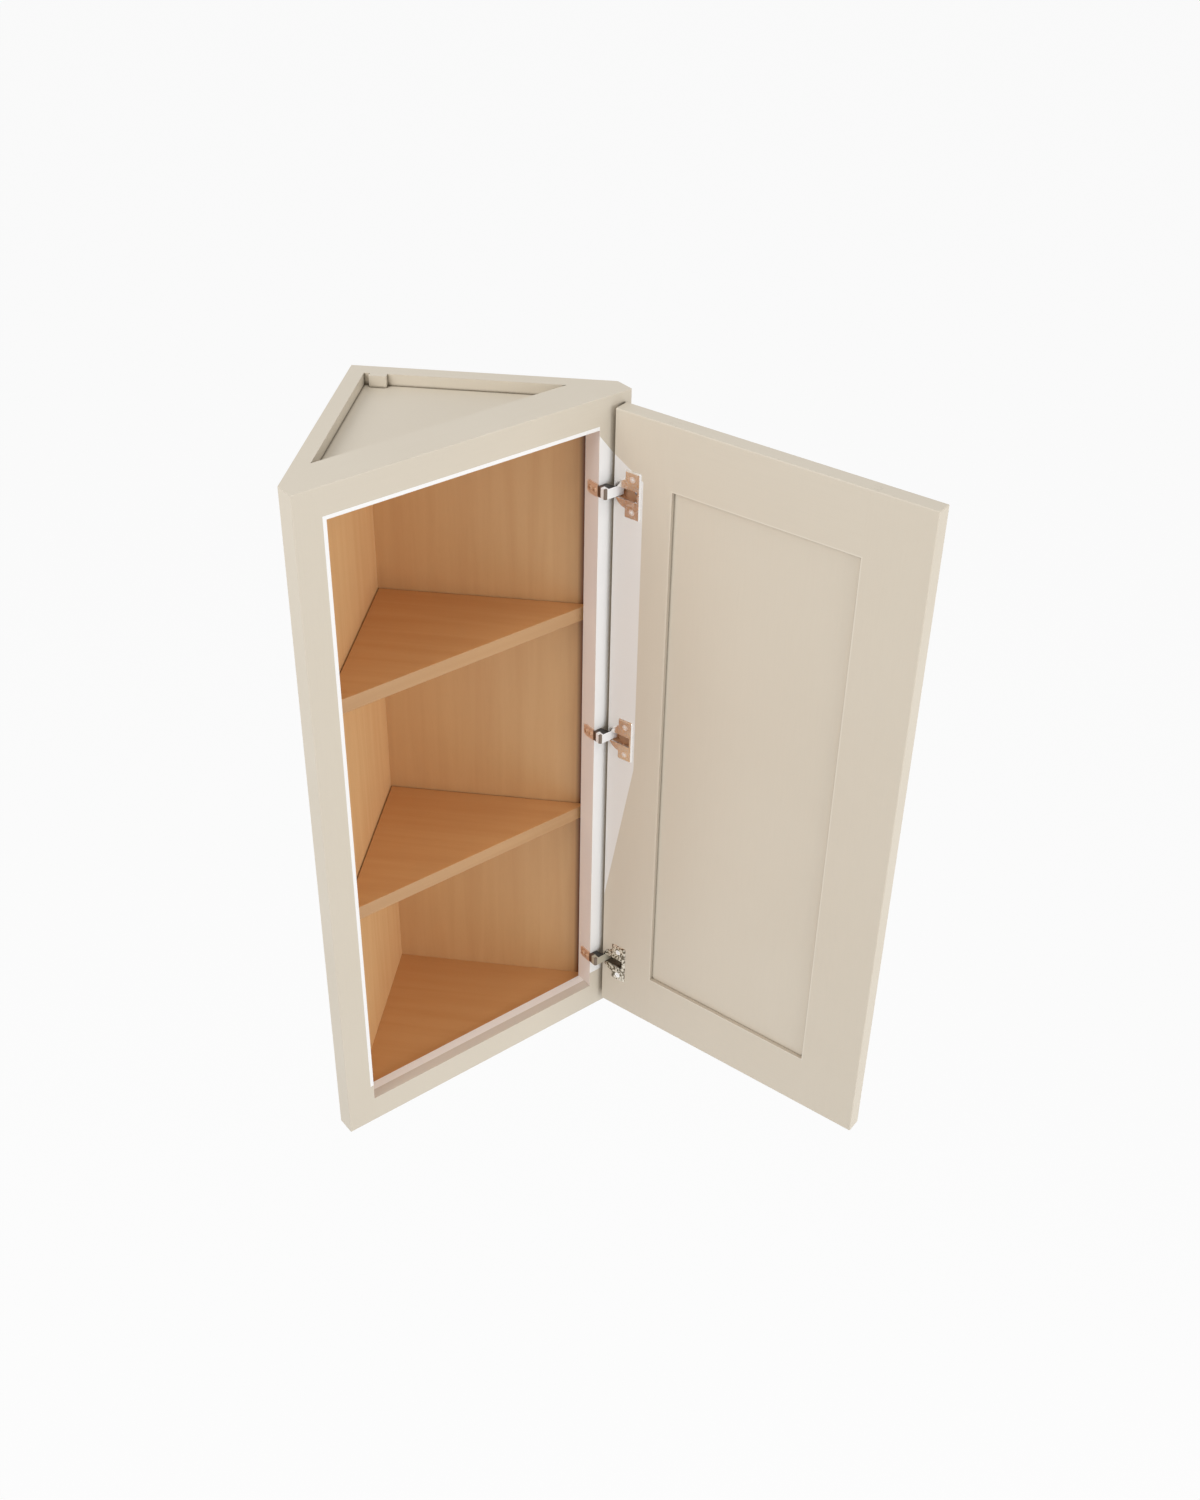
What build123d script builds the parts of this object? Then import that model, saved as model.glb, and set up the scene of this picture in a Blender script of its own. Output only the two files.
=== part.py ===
from build123d import *
import os
from math import sqrt

# Angled wall end cabinet, in millimetres.
# The origin is the back left bottom corner: the room's wall is the plane Y = 0, the neighbouring
# cabinet is the plane X = 0, the room is towards -Y, and the cabinet is right of X = 0.
# The face frame closes the slanted side at 45 degrees. The door stands open, as it hangs at rest.

# Box
height = 914.4
leg = 304.8                   # side and back, from the wall corner to the back of the face frame
panel_thickness = 19.05
deck_thickness = 19.05        # top and bottom panels
deck_recess = 14.0            # top and bottom panels are set in from the box's ends
dado_depth = 6.35             # the decks stand this far in the side and back panels
glue_gap = 0.1                # round every glued tongue and dowel
cut_margin = 1.0              # every cut runs this far past the wood or metal

# Strips on the top panel
nailer_depth = 25.4
corner_block_width = 20.0
corner_block_thickness = 7.0
corner_block_offset = 7.0     # clear of the side panel

# Face frame
frame_thickness = 25.4
left_stile_width = 38.1
hinge_stile_width = 44.45
frame_rail_height = 38.1
frame_arris = 1.0

# Dowels
dowel_radius = 4.0
dowel_length = 30.0
rail_dowel_spacing = 18.0
box_dowel_depth = 12.0        # in the back panel, the rest is in the side panel
box_dowel_count = 4
box_dowel_end = 80.0          # first and last dowel from the box's ends

# Shelves
shelf_thickness = 19.05
shelf_gap = 1.5               # to the side and back panels
shelf_setback = 3.9           # front edge behind the face frame
lower_shelf_top = 332.5
upper_shelf_top = 634.5
shelf_arris = 1.0

# Shelf supports
support_width = 10.0
support_reach = 12.0
support_drop = 12.0
support_metal = 1.5
support_pin_radius = 2.5
support_pin_length = 9.0
support_pin_drop = 7.0        # pin's centre under the shelf
support_near = 50.0           # rear supports, from the inner corner of the box
support_front = 51.75         # front supports, from the panels' inner front edge

# Door
door_end_reveal = 12.7        # frame left bare above and below the door
door_free_reveal = 22.65      # frame left bare beside the door's free edge
hinge_reveal = 13.4           # frame left bare beside the closed door's hinge edge
door_thickness = 20.6
door_stile_width = 79.4
door_rail_height = 79.4
door_arris = 1.2
centre_panel_thickness = 6.35
centre_panel_recess = 4.5     # on the door's inner side
door_groove_depth = 10.0
centre_panel_play = 1.5       # between the panel's edge and the bottom of its groove
door_gap = 3.0                # between the closed door and the face frame
open_angle = 105.5

# Hinges
bottom_hinge_inset = 79.8     # cup's centre from the door's bottom end
top_hinge_inset = 99.5        # cup's centre from the door's top end
middle_hinge_rise = 7.0       # cup's centre above the door's middle
cup_radius = 17.4
cup_wall = 0.9
cup_fit = 0.1                 # between the cup and its hole in the door
cup_tab = 3.05                # wood left between the hole and the door's edge
cup_ear = 2.4                 # holds the pin at each end
ear_length = 7.0              # from the cup's edge nearest the door's edge
flange_thickness = 2.0
flange_rim = 2.1              # round the cup
flange_start = 16.0           # from the door's edge
flange_width = 22.0
flange_height = 60.0
flange_corner = 2.0
flange_bevel = 1.7
slot_room = 1.2               # between the closed arm and the end of the flange's slot
pin_radius = 1.6
pin_depth = 7.7               # pin's centre under the door's inner face
pin_fit = 0.02                # in the cup's ears
running_fit = 0.06            # in the arm's eye
eye_radius = 2.6
eye_room = 0.35               # between the eye and the door's wood
eye_depth_room = 2.2          # between the eye and the bottom of the cup
arm_metal = 1.6
arm_width = 13.0
arm_side_room = 0.5           # between the arm and the cup's ears
arm_bend = 2.4
arm_wall_length = 14.0        # folded top and bottom of the arm, from the stile's edge towards the pin
arm_wall_slope = 4.0
arm_frame_room = 1.0          # between the folded top and bottom and the frame's front
plate_width = 16.0
plate_depth = 18.5
plate_corner = 5.0
spring_metal = 0.6
spring_width = 8.0
spring_start = 2.0            # foot from the cup's far wall
spring_foot = 7.0
spring_leaf = (6.0, 1.0)      # leaf's run towards the arm and its rise from the cup's bottom

# Screws
screw_radius = 1.75
screw_fit = 0.03
screw_slot = 0.9
screw_slot_depth = 1.0
door_screw_head = 3.8
door_screw_length = 15.0
door_screw_spacing = 41.0
door_screw_inset = 11.0       # from the flange's edge nearest the door's edge
frame_screw_head = 3.0
frame_screw_head_height = 1.8
frame_screw_length = 18.0
frame_screw_steps = (5.2, 13.2)   # from the frame's front face

# Worked out from the sizes above
diagonal = sqrt(2)
frame_width = leg * diagonal
hinge_stile_edge = frame_width - hinge_stile_width
top_deck_base = height - deck_recess - deck_thickness
top_deck_face = height - deck_recess
door_width = frame_width - hinge_reveal - door_free_reveal
door_bottom = door_end_reveal
door_top = height - door_end_reveal
hinge_heights = {
    "bottom": door_bottom + bottom_hinge_inset,
    "middle": (door_bottom + door_top) / 2 + middle_hinge_rise,
    "top": door_top - top_hinge_inset,
}
cup_centre = cup_tab + cup_fit + cup_radius
cup_inner_radius = cup_radius - cup_wall
pin_inset = cup_tab + eye_room + eye_radius
arm_front = pin_depth + eye_radius
cup_floor = arm_front + eye_depth_room
cup_depth = cup_floor + cup_wall
ear_inner = arm_width / 2 + arm_side_room
ear_outer = ear_inner + cup_ear
ear_end = cup_tab + ear_length
stile_edge_inset = frame_width - hinge_reveal - hinge_stile_edge
slot_end = stile_edge_inset + arm_metal + slot_room

# Frame coordinates: X along the frame from its left end, Y into the cabinet from the frame's back.
# Door coordinates: X from the hinge edge, Y from the inner face towards the outer face.
frame_place = Location((0, -leg, 0), (0, 0, 45))
closed_corner = (frame_width - hinge_reveal, -frame_thickness - door_gap, 0)
closed_place = frame_place * Location(closed_corner, (0, 0, 180))
swing = Pos(pin_inset, pin_depth, 0) * Rot(0, 0, open_angle) * Pos(-pin_inset, -pin_depth, 0)
open_place = closed_place * swing


def block(x, y, z):
    """A box between three (low, high) pairs."""
    lows, highs = zip(x, y, z)
    sizes = [high - low for low, high in zip(lows, highs)]
    centre = [(high + low) / 2 for low, high in zip(lows, highs)]
    return Pos(*centre) * Box(*sizes)


def prism(points, low, high):
    """An upright prism over a plan outline."""
    outline = make_face(Polyline(*points, close=True))
    return Pos(0, 0, low) * extrude(outline, high - low, dir=(0, 0, 1))


def rod_x(radius, x, y, z):
    """A round rod along X, between a (low, high) pair."""
    return Pos(sum(x) / 2, y, z) * Rot(0, 90, 0) * Cylinder(radius, x[1] - x[0])


def rod_y(radius, x, y, z):
    """A round rod along Y, between a (low, high) pair."""
    return Pos(x, sum(y) / 2, z) * Rot(-90, 0, 0) * Cylinder(radius, y[1] - y[0])


def spaced(low, high, count):
    """Evenly spaced places from low to high, both included."""
    return [low + (high - low) * index / (count - 1) for index in range(count)]


def triangle(corner, setback):
    """Plan of a deck or shelf: its inner corner on the box's diagonal, its front behind the frame."""
    front = leg - setback * diagonal
    return [(corner, -corner), (front - corner, -corner), (corner, corner - front)]


# Box
def box_dowel_places():
    return spaced(box_dowel_end, height - box_dowel_end, box_dowel_count)


def box_dowel(radius, slack):
    """Dowels between the side panel's back edge and the back panel."""
    low = -panel_thickness + box_dowel_depth - dowel_length - slack
    high = -panel_thickness + box_dowel_depth + slack
    return [rod_y(radius, panel_thickness / 2, (low, high), z) for z in box_dowel_places()]


def deck(base, slack=0.0):
    """A top or bottom panel that stands in the dados of the side and back panels."""
    corner = panel_thickness - dado_depth + glue_gap - slack
    return prism(triangle(corner, -slack), base - slack, base + deck_thickness + slack)


def support_places(wall):
    """Places of the four supports of a shelf: two on the side panel and two on the back panel."""
    steps = (panel_thickness + support_near, leg - panel_thickness - support_front)
    if wall == "side":
        return [Location((panel_thickness, -step, 0), (0, 0, 0)) for step in steps]
    return [Location((step, -panel_thickness, 0), (0, 0, -90)) for step in steps]


def support(shelf_base):
    """A shelf support in its wall's coordinates: X out of the panel, Z up."""
    half = support_width / 2
    ledge = block((0, support_reach), (-half, half), (shelf_base - support_metal, shelf_base))
    plate = block((0, support_metal), (-half, half), (shelf_base - support_drop, shelf_base))
    pin_run = (-support_pin_length, support_metal / 2)
    pin = rod_x(support_pin_radius, pin_run, 0, shelf_base - support_pin_drop)
    return ledge + plate + pin


def supports(shelf_base):
    places = support_places("side") + support_places("back")
    return [place * support(shelf_base) for place in places]


def support_holes(wall):
    """Holes for the supports in one panel."""
    holes = []
    for shelf_top in (lower_shelf_top, upper_shelf_top):
        z = shelf_top - shelf_thickness - support_pin_drop
        hole = rod_x(support_pin_radius + glue_gap, (-support_pin_length - glue_gap, cut_margin), 0, z)
        holes += [place * hole for place in support_places(wall)]
    return holes


def side_panel():
    t = panel_thickness
    panel = prism([(0, -t), (t, -t), (t, t - leg), (0, -leg)], 0, height)
    panel -= deck(deck_recess, glue_gap)
    panel -= deck(top_deck_base, glue_gap)
    panel -= box_dowel(dowel_radius + glue_gap, glue_gap)
    return panel - support_holes("side")


def back_panel():
    t = panel_thickness
    panel = prism([(0, 0), (leg, 0), (leg - t, -t), (0, -t)], 0, height)
    panel -= deck(deck_recess, glue_gap)
    panel -= deck(top_deck_base, glue_gap)
    panel -= box_dowel(dowel_radius + glue_gap, glue_gap)
    return panel - support_holes("back")


def top_nailer():
    """Strip on the top panel behind the face frame, flush with the top edges."""
    t = panel_thickness
    back = nailer_depth * diagonal
    outline = [(t, t - leg), (leg - t, -t), (leg - back - t, -t), (t, t - leg + back)]
    return prism(outline, top_deck_face, height)


def corner_block():
    low = panel_thickness + corner_block_offset
    front = -panel_thickness - corner_block_thickness
    return block((low, low + corner_block_width), (front, -panel_thickness), (top_deck_face, height))


def shelf(top):
    board = prism(triangle(panel_thickness + shelf_gap, shelf_setback), top - shelf_thickness, top)
    front_edges = frame_place.inverse() * board
    front_edges = front_edges.edges().filter_by(Axis.X).sort_by(Axis.Y)[:2]
    return frame_place * fillet(front_edges, shelf_arris)


# Face frame
def rail_dowel(radius, slack):
    """Dowels of the frame's four corners, in frame coordinates."""
    half = dowel_length / 2 + slack
    middle = -frame_thickness / 2
    rods = []
    for joint in (left_stile_width, hinge_stile_edge):
        for rail_middle in (frame_rail_height / 2, height - frame_rail_height / 2):
            for step in (-rail_dowel_spacing / 2, rail_dowel_spacing / 2):
                rods.append(rod_x(radius, (joint - half, joint + half), middle, rail_middle + step))
    return rods


def frame_stile(x, outer):
    """A stile over the frame's full height, rounded along its outer front edge and its ends."""
    board = block(x, (-frame_thickness, 0), (0, height))
    front = board.faces().sort_by(Axis.Y)[0]
    upright = front.edges().filter_by(Axis.Z).sort_by(Axis.X)[outer]
    board = fillet([upright] + front.edges().filter_by(Axis.X), frame_arris)
    return board - rail_dowel(dowel_radius + glue_gap, glue_gap)


def frame_left_stile():
    return frame_stile((0, left_stile_width), 0)


def frame_right_stile():
    stile = frame_stile((hinge_stile_edge, frame_width), -1)
    for z in hinge_heights.values():
        for screw in frame_screws(z, screw_radius + screw_fit, screw_fit):
            stile -= frame_place.inverse() * closed_place * screw
    return stile


def frame_rail(low, outer):
    run = (left_stile_width, hinge_stile_edge)
    board = block(run, (-frame_thickness, 0), (low, low + frame_rail_height))
    front = board.faces().sort_by(Axis.Y)[0]
    board = fillet(front.edges().filter_by(Axis.X).sort_by(Axis.Z)[outer], frame_arris)
    return board - rail_dowel(dowel_radius + glue_gap, glue_gap)


# Door, in door coordinates
groove = (centre_panel_recess - glue_gap, centre_panel_recess + centre_panel_thickness + glue_gap)
tongue = (centre_panel_recess, centre_panel_recess + centre_panel_thickness)
inner_left = door_stile_width
inner_right = door_width - door_stile_width


def door_stile(x, outer):
    """A stile with its outer edges rounded and a groove along its inner edge."""
    board = block(x, (0, door_thickness), (door_bottom, door_top))
    side = board.faces().sort_by(Axis.X)[outer]
    ends = board.faces().sort_by(Axis.Z)
    end_edges = ends[0].edges().filter_by(Axis.X) + ends[-1].edges().filter_by(Axis.X)
    board = fillet(side.edges() + end_edges, door_arris)
    inner = x[1] if outer == 0 else x[0]
    slot = (inner - door_groove_depth, inner + door_groove_depth)
    return board - block(slot, groove, (door_bottom - cut_margin, door_top + cut_margin))


def door_hinge_stile():
    stile = door_stile((0, door_stile_width), 0)
    for z in hinge_heights.values():
        stile -= Pos(0, 0, z) * cup_hole()
        for screw in door_screws(z, screw_radius + screw_fit, screw_fit):
            stile -= screw
    return stile


def door_free_stile():
    return door_stile((inner_right, door_width), -1)


def door_rail(low, outer):
    """A rail with a tongue at each end and a groove for the centre panel."""
    board = block((inner_left, inner_right), (0, door_thickness), (low, low + door_rail_height))
    edge_face = board.faces().sort_by(Axis.Z)[outer]
    board = fillet(edge_face.edges().filter_by(Axis.X), door_arris)
    reach = door_groove_depth - glue_gap
    board += block((inner_left - reach, inner_right + reach), tongue, (low, low + door_rail_height))
    inner = low + door_rail_height if outer == 0 else low
    slot = (inner - door_groove_depth, inner + door_groove_depth)
    slot_run = (inner_left - door_groove_depth, inner_right + door_groove_depth)
    return board - block(slot_run, groove, slot)


def door_centre_panel():
    reach = door_groove_depth - centre_panel_play
    low = door_bottom + door_rail_height - reach
    high = door_top - door_rail_height + reach
    return block((inner_left - reach, inner_right + reach), tongue, (low, high))


# Hinges, in door coordinates at height zero
def cup_hole():
    radius = cup_radius + cup_fit
    slot_half = ear_outer + cup_fit
    depth = cup_depth + cup_fit
    hole = rod_y(radius, cup_centre, (-cut_margin, depth), 0)
    ear_run = (cup_tab, ear_end + cup_fit)
    return hole + block(ear_run, (-cut_margin, depth), (-slot_half, slot_half))


def hinge_flange():
    """Bevelled plate on the door's inner face, with half a round lobe over the cup."""
    half = flange_height / 2
    plate = block((flange_start, flange_start + flange_width), (-flange_thickness, 0), (-half, half))
    plate = fillet(plate.edges().filter_by(Axis.Y), flange_corner)
    lobe_radius = cup_radius + flange_rim
    lobe = rod_y(lobe_radius, cup_centre, (-flange_thickness, 0), 0)
    lobe -= block((cup_centre, cup_centre + lobe_radius), (-flange_thickness, 0), (-lobe_radius, lobe_radius))
    return chamfer((plate + lobe).faces().sort_by(Axis.Y)[0].edges(), flange_bevel)


def hinge_cup():
    """Hollow cup with two ears for the pin, under a flange with a slot for the closed arm."""
    edge = cup_tab + cup_fit
    cup = rod_y(cup_radius, cup_centre, (0, cup_depth), 0)
    cup += block((edge, ear_end), (0, cup_depth), (-ear_outer, ear_outer))
    cup += hinge_flange()
    cup -= rod_y(cup_inner_radius, cup_centre, (0, cup_floor), 0)
    slot_depth = (-flange_thickness - cut_margin, cup_floor)
    cup -= block((-cup_tab, slot_end), slot_depth, (-ear_inner, ear_inner))
    cup -= Pos(pin_inset, pin_depth, 0) * Cylinder(pin_radius + pin_fit, 2 * ear_outer + cut_margin)
    for place in door_screw_places(0):
        cup -= place * countersunk_head(screw_fit)
    return cup


def hinge_pin():
    return Pos(pin_inset, pin_depth, 0) * Cylinder(pin_radius, 2 * ear_outer)


def hinge_spring():
    """Leaf spring on the bottom of the cup, its free end towards the closed arm."""
    middle = cup_floor - spring_metal / 2
    start = cup_centre + cup_inner_radius - spring_start
    heel = start - spring_foot
    line = Polyline((start, middle), (heel, middle), (heel - spring_leaf[0], middle - spring_leaf[1]))
    strip = make_face(line.wire().offset_2d(spring_metal / 2, kind=Kind.INTERSECTION))
    return extrude(strip, spring_width / 2, both=True)


def arm_path():
    """Middle line of the arm in the closed door's coordinates, from the frame plate's end to the pin."""
    plate_x = stile_edge_inset + arm_metal / 2
    front = arm_front - arm_metal / 2
    points = [(plate_x, -door_gap - plate_depth), (plate_x, front), (pin_inset, front)]
    return FilletPolyline(*points, radius=arm_bend)


def arm_walls():
    """Folded top and bottom of the arm, between its front and the frame."""
    rear = arm_frame_room - door_gap
    front = arm_front - arm_metal / 2
    near = stile_edge_inset + arm_metal / 2
    far = stile_edge_inset - arm_wall_length
    outline = [(near, rear), (near, front), (far, front), (far + arm_wall_slope, rear)]
    half = arm_width / 2
    return prism(outline, -half, arm_metal - half) + prism(outline, half - arm_metal, half)


def frame_plate():
    """Plate of the arm on the stile's edge, rounded at its rear end."""
    half = plate_width / 2
    plate_x = (stile_edge_inset, stile_edge_inset + arm_metal)
    plate = block(plate_x, (-door_gap - plate_depth, -door_gap), (-half, half))
    return fillet(plate.edges().filter_by(Axis.X).sort_by(Axis.Y)[:2], plate_corner)


def hinge_arm():
    """Rigid channel from the frame plate round the stile's edge to the pin."""
    strip = make_face(arm_path().wire().offset_2d(arm_metal / 2, kind=Kind.INTERSECTION))
    arm = extrude(strip, arm_width / 2, both=True)
    arm += Pos(pin_inset, pin_depth, 0) * Cylinder(eye_radius, arm_width)
    arm += arm_walls()
    arm += frame_plate()
    arm -= Pos(pin_inset, pin_depth, 0) * Cylinder(pin_radius + running_fit, arm_width + cut_margin)
    hole_run = (stile_edge_inset - cut_margin, stile_edge_inset + arm_metal + cut_margin)
    for step in frame_screw_steps:
        arm -= rod_x(screw_radius + screw_fit, hole_run, -door_gap - step, 0)
    return arm


# Screws, in door coordinates
def cross_slot(size):
    """Cross recess, its depth along X from zero."""
    run = (-screw_slot_depth, cut_margin)
    slot = block(run, (-size, size), (-screw_slot / 2, screw_slot / 2))
    return slot + Rot(90, 0, 0) * slot


def frame_screws(z, radius=screw_radius, slack=0.0):
    """Screws through a frame plate into the stile's edge."""
    face = stile_edge_inset + arm_metal
    tip = face - frame_screw_length
    return [rod_x(radius, (tip - slack, face), -door_gap - step, z) for step in frame_screw_steps]


def frame_screw_set(z):
    face = stile_edge_inset + arm_metal
    top = face + frame_screw_head_height
    screws = []
    for shank, step in zip(frame_screws(z), frame_screw_steps):
        head = rod_x(frame_screw_head, (face, top), -door_gap - step, z)
        head = fillet(head.edges().sort_by(Axis.X)[-1], frame_screw_head_height / 2)
        slot = Pos(top, -door_gap - step, z) * cross_slot(frame_screw_head / 2)
        screws.append(shank + head - slot)
    return screws


def door_screw_places(z):
    x = flange_start + door_screw_inset
    half = door_screw_spacing / 2
    return [Location((x, -flange_thickness, z + step)) for step in (-half, half)]


def countersunk_head(slack=0.0):
    """Cone from the flange's face to the door's face, pointing along Y."""
    cone = Cone(door_screw_head + slack, screw_radius + slack, flange_thickness)
    return Pos(0, flange_thickness / 2, 0) * Rot(-90, 0, 0) * cone


def door_screws(z, radius=screw_radius, slack=0.0):
    """Shanks in the door, from its inner face."""
    run = (flange_thickness, door_screw_length + slack)
    return [place * rod_y(radius, 0, run, 0) for place in door_screw_places(z)]


def door_screw_set(z):
    screws = []
    for shank, place in zip(door_screws(z), door_screw_places(z)):
        slot = place * Rot(0, 0, -90) * cross_slot(door_screw_head / 2)
        screws.append(shank + place * countersunk_head() - slot)
    return screws


def build():
    parts = {
        "side_panel": side_panel(),
        "back_panel": back_panel(),
        "bottom_panel": deck(deck_recess),
        "top_panel": deck(top_deck_base),
        "top_nailer": top_nailer(),
        "corner_block": corner_block(),
        "box_dowels": Compound(box_dowel(dowel_radius, 0)),
        "lower_shelf": shelf(lower_shelf_top),
        "upper_shelf": shelf(upper_shelf_top),
        "lower_shelf_supports": Compound(supports(lower_shelf_top - shelf_thickness)),
        "upper_shelf_supports": Compound(supports(upper_shelf_top - shelf_thickness)),
        "frame_left_stile": frame_place * frame_left_stile(),
        "frame_right_stile": frame_place * frame_right_stile(),
        "frame_bottom_rail": frame_place * frame_rail(0, 0),
        "frame_top_rail": frame_place * frame_rail(height - frame_rail_height, -1),
        "frame_dowels": frame_place * Compound(rail_dowel(dowel_radius, 0)),
        "door_hinge_stile": open_place * door_hinge_stile(),
        "door_free_stile": open_place * door_free_stile(),
        "door_bottom_rail": open_place * door_rail(door_bottom, 0),
        "door_top_rail": open_place * door_rail(door_top - door_rail_height, -1),
        "door_centre_panel": open_place * door_centre_panel(),
    }
    door_screw_solids = []
    frame_screw_solids = []
    for name, z in hinge_heights.items():
        parts[f"{name}_hinge_cup"] = open_place * Pos(0, 0, z) * hinge_cup()
        parts[f"{name}_hinge_pin"] = open_place * Pos(0, 0, z) * hinge_pin()
        parts[f"{name}_hinge_spring"] = open_place * Pos(0, 0, z) * hinge_spring()
        parts[f"{name}_hinge_arm"] = closed_place * Pos(0, 0, z) * hinge_arm()
        door_screw_solids += door_screw_set(z)
        frame_screw_solids += frame_screw_set(z)
    parts["hinge_door_screws"] = open_place * Compound(door_screw_solids)
    parts["hinge_frame_screws"] = closed_place * Compound(frame_screw_solids)
    return parts


os.makedirs("parts", exist_ok=True)
for node, solid in build().items():
    export_step(solid, f"parts/{node}.step")
pivot = (closed_place * Pos(pin_inset, pin_depth, 0)).position
print("door pivot", tuple(round(value, 4) for value in pivot))
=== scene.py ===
import logging
import math
from dataclasses import dataclass
from enum import Enum
from typing import Sequence, Union

import bpy
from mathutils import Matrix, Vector

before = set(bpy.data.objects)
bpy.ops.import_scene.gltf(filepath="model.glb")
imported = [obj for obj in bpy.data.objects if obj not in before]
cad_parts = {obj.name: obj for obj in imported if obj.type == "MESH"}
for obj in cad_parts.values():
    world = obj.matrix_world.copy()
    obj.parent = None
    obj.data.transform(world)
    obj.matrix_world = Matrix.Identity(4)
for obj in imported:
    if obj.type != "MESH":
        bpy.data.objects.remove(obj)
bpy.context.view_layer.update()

# Looks of an angled wall end cabinet with its door open: sprayed paint outside, clear-coated veneer
# inside, and plated steel hinges. Lengths are in metres, and MM turns millimetres into metres.
# Grain, flecks and rolled streaks are really a few tenths of a millimetre wide or less. They are drawn
# coarser, about as wide as a pixel of the photograph, so that they show at all.

log = logging.getLogger("cabinet")
MM = 0.001
FAR = 1.0                    # beyond every face of the cabinet, for a span without an end
NOISE_BAND = (0.3, 0.7)      # noise seldom leaves this part of zero to one
COAT_IOR = 1.5               # dried paint and clear coat
COAT_RELIEF = 0.12           # strength of the bumps in them
COAT_DEPTH = 0.1 * MM
WHITE = "#FFFFFF"

Colour = tuple[float, float, float, float]
Span = tuple[float, float]
Value = Union[float, int, Sequence[float], bpy.types.Node, bpy.types.NodeSocket]


def linear(code: str) -> Colour:
    """Turns an sRGB hex colour into linear light.

    Args:
        code: six hex digits, with or without a leading hash.

    Returns:
        Red, green, blue and an alpha of one.
    """
    shares = [int(code.lstrip("#")[at:at + 2], 16) / 255 for at in (0, 2, 4)]
    red, green, blue = (s / 12.92 if s <= 0.04045 else ((s + 0.055) / 1.055) ** 2.4 for s in shares)
    return (red, green, blue, 1.0)


def add_node(tree: bpy.types.NodeTree, kind: str, inputs: dict[Union[str, int], Value],
             **settings: object) -> bpy.types.Node:
    """Adds a node with its settings and links.

    Args:
        tree: the material's or world's nodes.
        kind: the node's type.
        inputs: a value, an output or a node (for its first output) for each input, by name or number.
        settings: attributes of the node, such as its operation.

    Returns:
        The new node.
    """
    node = tree.nodes.new(kind)
    for name, value in settings.items():
        setattr(node, name, value)
    for name, value in inputs.items():
        if isinstance(value, bpy.types.Node):
            value = value.outputs[0]
        if isinstance(value, bpy.types.NodeSocket):
            tree.links.new(value, node.inputs[name])
        else:
            node.inputs[name].default_value = value
    return node


class Run(Enum):
    """Which way a board's length runs, as a turn about Z and whether it is upright."""

    UPRIGHT = (0.0, True)
    ALONG_WALL = (0.0, False)
    ALONG_FRAME = (45.0, False)
    ALONG_DOOR = (-29.5, False)


@dataclass(frozen=True)
class Axes:
    """The own coordinates of the box, the face frame or the open door, as a turn about Z and an origin."""

    turn: float = 0.0
    origin: tuple[float, float, float] = (0.0, 0.0, 0.0)


BOX = Axes()
FRAME = Axes(45.0, (0.0, -304.8 * MM, 0.0))
DOOR = Axes(-29.5, (307.595 * MM, -42.992 * MM, 0.0))


@dataclass(frozen=True)
class Layer:
    """What one finish gives at a point: its colour, roughness and height."""

    colour: Value
    roughness: bpy.types.Node
    height: Value


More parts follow.
